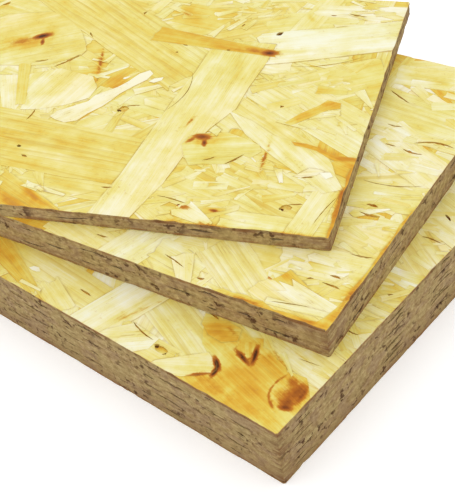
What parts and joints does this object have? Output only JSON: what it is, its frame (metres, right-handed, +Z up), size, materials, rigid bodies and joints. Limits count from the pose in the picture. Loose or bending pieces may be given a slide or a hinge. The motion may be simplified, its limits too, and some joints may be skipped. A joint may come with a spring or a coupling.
{
  "type": "stack of osb panels",
  "caption": "Stack of oriented strand board samples in rising thicknesses, fanned about their front corners, with sawn edges.",
  "frame": {"origin": "centre of the underside of the lowest and thickest board", "axes": "+Z up through the stack, +X along the long side of the lowest board, towards the corner that the boards fan about, and +Y along its short side, away from that corner"},
  "size_m": [0.264, 0.2076, 0.043],
  "materials": {
    "thin_osb": "pressed strand faces and sawn edges, unsealed",
    "medium_osb": "pressed strand faces and sawn edges, unsealed",
    "thick_osb": "pressed strand faces and sawn edges, unsealed"
  },
  "bodies": {
    "root": {"thin_panel": "thin_osb", "medium_panel": "medium_osb", "thick_panel": "thick_osb"}
  },
  "joints": []
}
